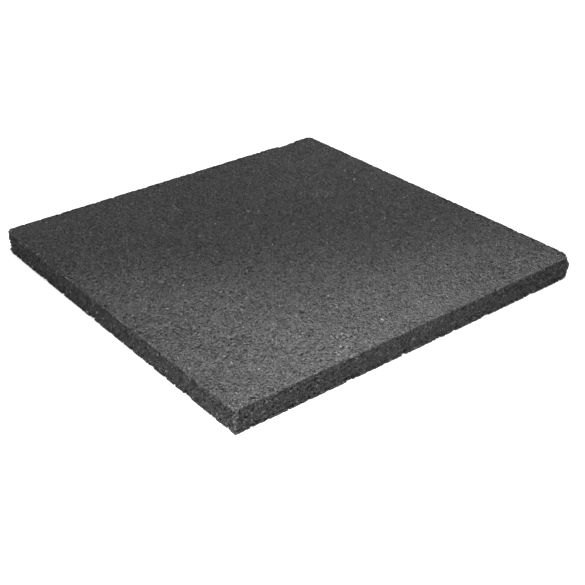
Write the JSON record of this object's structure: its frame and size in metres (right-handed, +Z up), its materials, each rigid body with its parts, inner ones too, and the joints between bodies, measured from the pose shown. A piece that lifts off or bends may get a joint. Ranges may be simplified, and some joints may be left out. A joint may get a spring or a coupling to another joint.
{
  "type": "rubber safety mat",
  "caption": "Square black safety tile of bonded rubber crumb, laid flat edge to edge as a cushioned, slip-resistant floor.",
  "frame": {"origin": "middle of the underside, on the floor that the mat lies on", "axes": "+Z up through the mat's thickness, out of the walking face; +X and +Y along its equal sides"},
  "size_m": [0.5, 0.5, 0.03],
  "materials": {
    "crumb_rubber": "matt black bonded rubber crumb of 1 to 3 mm, with open pits between the crumbs and a faint sheen of binder"
  },
  "bodies": {
    "root": {"rubber_mat": "crumb_rubber"}
  },
  "joints": []
}
